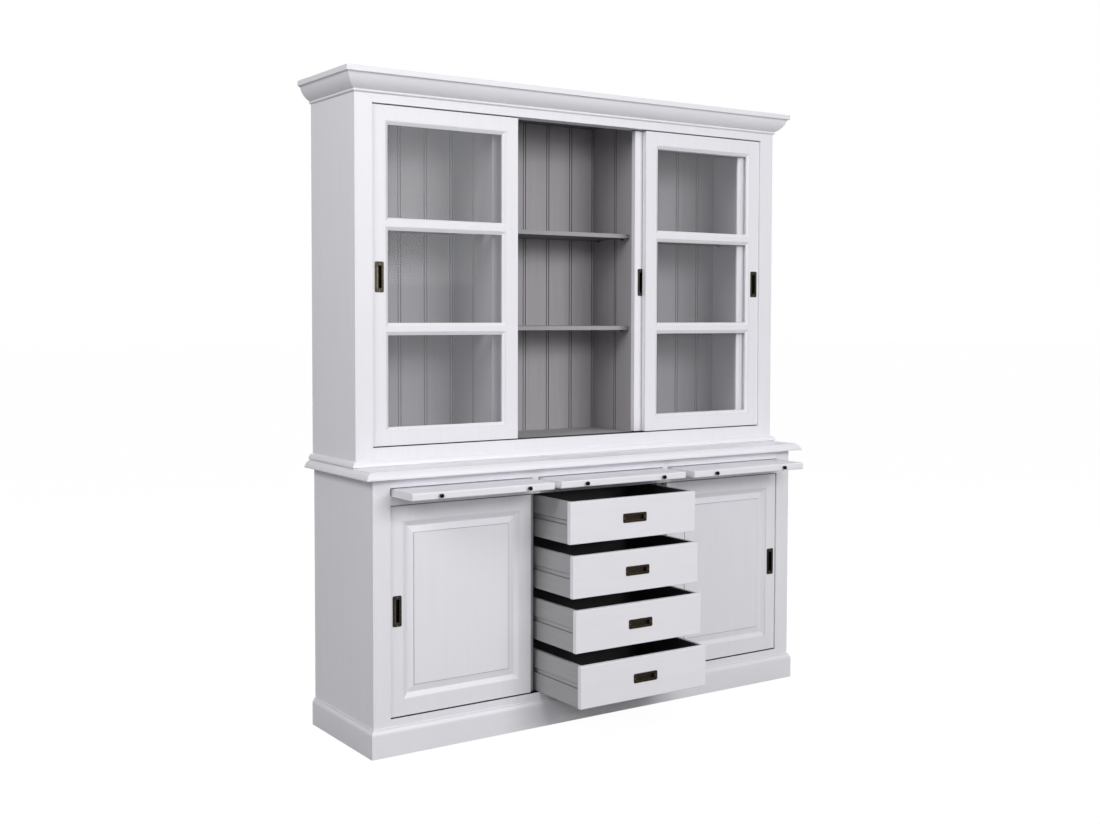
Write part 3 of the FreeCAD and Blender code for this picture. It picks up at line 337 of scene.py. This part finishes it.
def backed_paint(name):
    """The upper back: grey paint towards the shelves, bare board towards the wall, with painted shade
    on the groove sides that face left.
    """
    shader = Shader(name)
    grain = shader.noise(1.0, 5.0, 0.6, shader.stretched(GRAIN["z"]))
    tone = shader.range(grain, 0.3, 0.7, 0.0, 1.0)
    behind = shader.math("GREATER_THAN", shader.split(shader.normal())["Y"], FACES_AXIS)
    color = shader.mix(behind, shader.mix(tone, GREY_SHADE, GREY),
                       shader.mix(tone, DARK_WOOD, PALE_WOOD))
    # painted shade on the sides of the grooves that face left
    color = shader.mix(shader.shaded_groove_side(), color, shaded(GREY_SHADE, GROOVE_SHADE))
    shader.set(Base_Color=color, Roughness=shader.range(grain, 0.3, 0.7, 0.52, 0.7),
               Normal=shader.bump(grain, 0.25, 0.0005, shader.rounded(0.0012)))
    return shader.material


# The drawers' walls and runner grooves, and where a groove's painted shade bands start, in metres
DRAWER_WALL = 0.0125
RUNNER_GROOVE_DEPTH = 0.003
RUNNER_GROOVE_HALF = 0.012
RUNNER_SHADE_FROM = 0.0058


def drawer_paint(name):
    """Drawer walls: light paint outside and on the top edges, and dark grey inside. On the floor of
    each runner groove, painted light lifts the middle and painted shade darkens bands along its edges,
    most along the lower edge."""
    shader = Shader(name)
    place = shader.split(shader.place)
    facing = shader.split(shader.normal())
    low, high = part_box("drawer_1_box")
    outer_face = high.x
    wall_inside = outer_face - DRAWER_WALL
    fine = shader.noise(1.0, 5.0, 0.6, shader.stretched(GRAIN["y"]))
    tone = shader.range(fine, 0.3, 0.7, 0.0, 1.0)
    outer = shader.mix(tone, rgb(158, 158, 160), rgb(168, 168, 170))
    across = shader.math("ABSOLUTE", place["X"])
    height = shader.math("SUBTRACT", shader.split(shader.share)["Z"], 0.5)
    from_middle = shader.math("MULTIPLY", shader.math("ABSOLUTE", height), high.z - low.z)
    sunk = shader.math("LESS_THAN", across, outer_face - RUNNER_GROOVE_DEPTH)
    in_groove = shader.math("MULTIPLY", sunk,
                            shader.math("LESS_THAN", from_middle, RUNNER_GROOVE_HALF))
    # painted light on the middle of the groove floor, painted shade in bands along its upper and lower
    # edges
    shade_band = shader.math("GREATER_THAN", from_middle, RUNNER_SHADE_FROM)
    band_shade_color = shader.mix(shader.math("GREATER_THAN", height, 0.0), rgb(138, 138, 140),
                            rgb(70, 70, 72))
    groove_light_and_shade = shader.mix(shade_band, rgb(176, 176, 178), band_shade_color)
    outer = shader.mix(in_groove, outer, groove_light_and_shade)
    inner = shader.mix(tone, rgb(72, 72, 74), rgb(84, 84, 86))
    away = shader.math("MULTIPLY", place["X"], facing["X"])
    on_side = shader.math("GREATER_THAN", away, FACES_AXIS * wall_inside)
    on_top = shader.math("MULTIPLY", shader.math("GREATER_THAN", facing["Z"], FACES_AXIS),
                         shader.math("GREATER_THAN", across, wall_inside))
    outside = shader.math("MAXIMUM", on_side, on_top)
    shader.set(Base_Color=shader.mix(outside, inner, outer),
               Roughness=shader.range(fine, 0.3, 0.7, 0.45, 0.6),
               Normal=shader.bump(fine, 0.2, 0.0004, shader.rounded(0.001)))
    return shader.material


SATIN = 0.42
MATT = 0.58

materials = {
    "white_z": paint("white_upright", WHITE, WHITE_SHADE, "z", SATIN),
    "white_x": paint("white_across", WHITE, WHITE_SHADE, "x", SATIN),
    "white_y": paint("white_deep", WHITE, WHITE_SHADE, "y", SATIN),
    "white_panel": paint("white_panel", WHITE, WHITE_SHADE, "z", SATIN, shade_steps=True),
    "grey_z": paint("grey_upright", GREY, GREY_SHADE, "z", MATT, shade_grooves=True),
    "grey_x": paint("grey_across", GREY, GREY_SHADE, "x", MATT),
    "shelf": paint("grey_shelf", SHADED_SHELF_GREY, SHELF_GREY_SHADE, "x", MATT, shade_undersides=True),
    "floor": paint("grey_floor", LIT_FLOOR_GREY, FLOOR_GREY_SHADE, "x", MATT, shade_undersides=True),
    "back": backed_paint("grey_back"),
    "bronze": bronze("aged_bronze", rgb(82, 76, 68), rgb(142, 134, 120), 0.42,
                     recess=rgb(112, 108, 92)),
    "screw_bronze": bronze("screw_bronze", rgb(92, 86, 76), rgb(150, 142, 126), 0.4),
    "drawer_bronze": bronze("brown_bronze", rgb(78, 68, 58), rgb(132, 116, 98), 0.42),
    "knob": bronze("dark_knob", rgb(38, 33, 30), rgb(70, 60, 52), 0.3),
    "brass": bronze("pin_brass", rgb(130, 116, 90), rgb(166, 152, 124), 0.36),
    "track": steel("track_metal", rgb(62, 59, 56), 0.46),
    "glass": glass("clear_glass", 0.04),
    "glass_painted_reflection": glass("glass_painted_reflection", 0.09),
    "board": bare_board("bare_board", "x"),
    "runner": bare_board("runner_board", "y"),
    "drawer": drawer_paint("drawer_board"),
}

LOOKS = {
    "white_z": ["base_sides", "base_face_frame", "upper_sides", "upper_face_frame"],
    "white_x": ["plinth", "base_top", "cornice", "waist_moulding", "tray_deck"],
    "back": ["upper_back"],
    "grey_z": ["upper_partitions", "base_dividers"],
    "grey_x": ["base_bottom"],
    "shelf": ["shelves"],
    "floor": ["upper_floor_and_ceiling"],
    "glass_painted_reflection": ["upper_left_door_glass"],
    "board": ["base_back"],
    "brass": ["shelf_pins"],
    "track": ["door_tracks"],
    "runner": ["drawer_runners"],
    "drawer_bronze": ["drawer_1_pull", "drawer_2_pull", "drawer_3_pull", "drawer_4_pull"],
}
ENDINGS = {"_frame": "white_z", "_beads": "white_z", "_panel": "white_panel", "_glass": "glass",
           "_pull": "bronze", "_front": "white_x", "_box": "drawer", "_guides": "track",
           "_board": "white_y", "_knobs": "knob"}


def look_of(name):
    """The finish of a CAD node, by its name or by how its name ends."""
    for look, members in LOOKS.items():
        if name in members:
            return look
    return next(look for ending, look in ENDINGS.items() if name.endswith(ending))


def dress_nodes():
    """Gives every CAD node its finish."""
    for name, item in nodes.items():
        item.data.materials.clear()
        item.data.materials.append(materials[look_of(name)])


SCREW_SIDES = 24
SLOT_TURN = math.radians(37.0)
SLOT_SHARE = 0.16
# Shares of a head's radius and rise: the plate's foot and top, and the rows of a half disc
PLATE_HEIGHTS = (-0.3, 0.3)
HALF_DISC_ROWS = ((1.0, 0.25), (1.0, 0.55), (0.8, 1.0))


def screw_head(place, outward, radius, rise, turn):
    """The points and faces of a slotted screw head: a round plate and two bevelled half discs on it."""
    upward = Vector((0.0, 0.0, 1.0))
    across = upward.cross(outward)
    points, faces = [], []

    def ring(distance, height, start, end, count):
        first = len(points)
        for step in range(count):
            angle = turn + start + (end - start) * step / (count - 1)
            points.append(place + outward * height
                          + distance * (across * math.cos(angle) + upward * math.sin(angle)))
        return list(range(first, first + count))

    def shell(rings, closed_at_seam):
        count = len(rings[0])
        for lower, upper in zip(rings, rings[1:]):
            for step in range(count if closed_at_seam else count - 1):
                after = (step + 1) % count
                faces.append((lower[step], lower[after], upper[after], upper[step]))
        if not closed_at_seam:
            faces.append(tuple(row[0] for row in rings) + tuple(row[-1] for row in reversed(rings)))
        faces.append(tuple(reversed(rings[0])))
        faces.append(tuple(rings[-1]))

    last = 2 * math.pi * (1 - 1 / SCREW_SIDES)
    shell([ring(radius, share * rise, 0.0, last, SCREW_SIDES) for share in PLATE_HEIGHTS], True)
    for half in (0.0, math.pi):
        rows = []
        for width, height in HALF_DISC_ROWS:
            lean = math.asin(SLOT_SHARE / width)
            rows.append(ring(width * radius, height * rise, half + lean, half + math.pi - lean,
                             SCREW_SIDES // 2))
        shell(rows, False)
    return points, faces


def add_screws(name, body, places, outward, radius, rise, look):
    """Screw heads that stand a little proud of an upright face and ride on a body."""
    points, faces = [], []
    for number, place in enumerate(places):
        turn = number * SLOT_TURN
        head_points, head_faces = screw_head(Vector(place), outward, radius, rise, turn)
        faces += [tuple(corner + len(points) for corner in face) for face in head_faces]
        points += head_points
    mesh = bpy.data.meshes.new(name)
    mesh.from_pydata(points, [], faces)
    mesh.materials.append(materials[look])
    piece = bpy.data.objects.new(name, mesh)
    scene.collection.objects.link(piece)
    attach(piece, body)


PULL_SCREW_INSET = 0.0055
PULL_SCREW_RADIUS = 0.0026
PULL_SCREW_RISE = 0.0004


def add_pull_screws():
    """Two small screws in the wide ends of each flush pull's rim."""
    for name in nodes:
        if not name.endswith("_pull"):
            continue
        low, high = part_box(name)
        middle = (low + high) / 2
        if high.x - low.x > high.z - low.z:
            ends = [(low.x + PULL_SCREW_INSET, low.y, middle.z),
                    (high.x - PULL_SCREW_INSET, low.y, middle.z)]
        else:
            ends = [(middle.x, low.y, low.z + PULL_SCREW_INSET),
                    (middle.x, low.y, high.z - PULL_SCREW_INSET)]
        add_screws(f"{name}_screws", name[:-len("_pull")], ends, Vector((0.0, -1.0, 0.0)),
                   PULL_SCREW_RADIUS, PULL_SCREW_RISE, "screw_bronze")


BACK_SCREW_INSET = 0.012
BACK_SCREW_SPACING = 0.21
BACK_SCREW_RADIUS = 0.0038
BACK_SCREW_RISE = 0.0008


def spread(start, end):
    """Places from one end to the other, evenly spaced."""
    count = max(1, round((end - start) / BACK_SCREW_SPACING))
    return [start + (end - start) * step / count for step in range(count + 1)]


def add_back_screws(panel, walls):
    """Screws round a back panel's edges and along the walls in front of it."""
    low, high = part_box(panel)
    left, right = low.x + BACK_SCREW_INSET, high.x - BACK_SCREW_INSET
    foot, head = low.z + BACK_SCREW_INSET, high.z - BACK_SCREW_INSET
    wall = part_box(walls)[1].x - BACK_SCREW_INSET
    places = [(x, high.y, z) for x in (left, -wall, wall, right) for z in spread(foot, head)]
    for start, end in ((left, -wall), (-wall, wall), (wall, right)):
        places += [(x, high.y, z) for z in (foot, head) for x in spread(start, end)[1:-1]]
    add_screws(f"{panel}_screws", "carcass", places, Vector((0.0, 1.0, 0.0)),
               BACK_SCREW_RADIUS, BACK_SCREW_RISE, "brass")


FLOOR_HALF = 60.0
FLOOR_GLOW = 1.13
FLOOR_GLOW_SHARE = 0.86


def add_floor():
    """A plain floor: white to the eye with a trace of shadow, and grey as a source of light."""
    shader = Shader("studio_floor")
    grain = shader.noise(0.6, 2.0)
    shader.set(Base_Color=shader.mix(grain, rgb(150, 150, 150), rgb(156, 156, 156)), Roughness=0.9)
    tree = shader.tree
    seen = shader.add("ShaderNodeLightPath").outputs["Is Camera Ray"]
    glow = shader.add("ShaderNodeEmission")
    blend = shader.add("ShaderNodeMixShader")
    shader.put(blend.inputs[0], shader.math("MULTIPLY", seen, FLOOR_GLOW_SHARE))
    shader.put(blend.inputs[1], shader.surface.outputs[0])
    shader.put(blend.inputs[2], glow.outputs[0])
    glow.inputs["Strength"].default_value = FLOOR_GLOW
    tree.links.new(blend.outputs[0], tree.nodes["Material Output"].inputs["Surface"])
    signs = ((-1, -1), (1, -1), (1, 1), (-1, 1))
    mesh = bpy.data.meshes.new("floor")
    mesh.from_pydata([(x * FLOOR_HALF, y * FLOOR_HALF, 0.0) for x, y in signs], [], [(0, 1, 2, 3)])
    mesh.materials.append(shader.material)
    floor = bpy.data.objects.new("floor", mesh)
    scene.collection.objects.link(floor)


def aim(lamp, source, target):
    """Puts a lamp at a point and turns it towards another."""
    lamp.location = source
    towards = Vector(target) - Vector(source)
    lamp.rotation_euler = towards.to_track_quat("-Z", "Y").to_euler()
    scene.collection.objects.link(lamp)


def add_sun(name, source, strength, softness):
    """A distant soft light that shines from a point towards the cabinet."""
    data = bpy.data.lights.new(name, "SUN")
    data.energy = strength
    data.angle = math.radians(softness)
    aim(bpy.data.objects.new(name, data), source, (0.0, 0.0, 0.0))


def add_softbox(name, source, target, side, power):
    """A square soft light."""
    data = bpy.data.lights.new(name, "AREA")
    data.energy = power
    data.size = side
    aim(bpy.data.objects.new(name, data), source, target)


def add_world(level, above):
    """A white studio, dimmer as a light than it looks, and lighter above than at the sides."""
    world = bpy.data.worlds.new("studio")
    scene.world = world
    world.use_nodes = True
    tree = world.node_tree
    background = tree.nodes["Background"]
    background.inputs["Color"].default_value = (1.0, 1.0, 1.0, 1.0)
    ways = tree.nodes.new("ShaderNodeSeparateXYZ")
    sky = tree.nodes.new("ShaderNodeTexCoord").outputs["Generated"]
    tree.links.new(sky, ways.inputs[0])
    light = tree.nodes.new("ShaderNodeMapRange")
    tree.links.new(ways.outputs["Z"], light.inputs["Value"])
    light.inputs["To Min"].default_value = level
    light.inputs["To Max"].default_value = above
    seen = tree.nodes.new("ShaderNodeMapRange")
    to_camera = tree.nodes.new("ShaderNodeLightPath").outputs["Is Camera Ray"]
    tree.links.new(to_camera, seen.inputs["Value"])
    tree.links.new(light.outputs["Result"], seen.inputs["To Min"])
    seen.inputs["To Max"].default_value = 1.0
    tree.links.new(seen.outputs["Result"], background.inputs["Strength"])


# Studio light. A softbox has a place, a point to aim at, a side in metres and a power in watts
SOFTBOXES = {
    "front_softbox": ((-0.6, -4.9, 3.0), (0.0, 0.0, 1.3), 1.3, 53.0),
    "left_softbox": ((-4.3, -1.6, 3.3), (-0.6, 0.0, 1.7), 1.6, 84.0),
    "right_softbox": ((1.2, -4.8, 2.7), (0.1, 0.0, 1.3), 2.2, 70.0),
    "rear_softbox": ((1.5, 5.0, 3.0), (0.0, 0.2, 1.2), 2.5, 90.0),
    "far_side_softbox": ((4.8, 1.5, 2.6), (0.9, 0.1, 1.2), 2.0, 60.0),
}
FILL_SOURCE = (1.8, -4.5, 1.9)
FILL_STRENGTH = 0.32
FILL_SOFTNESS = 30.0
WORLD_LEVEL = 0.3
WORLD_ABOVE = 0.42

dress_nodes()
add_pull_screws()
add_back_screws("upper_back", "upper_partitions")
add_back_screws("base_back", "base_dividers")
add_camera()
add_floor()
add_world(WORLD_LEVEL, WORLD_ABOVE)
for softbox, settings in SOFTBOXES.items():
    add_softbox(softbox, *settings)
add_sun("fill", FILL_SOURCE, FILL_STRENGTH, FILL_SOFTNESS)
scene.view_settings.view_transform = "Standard"
scene.view_settings.look = "None"
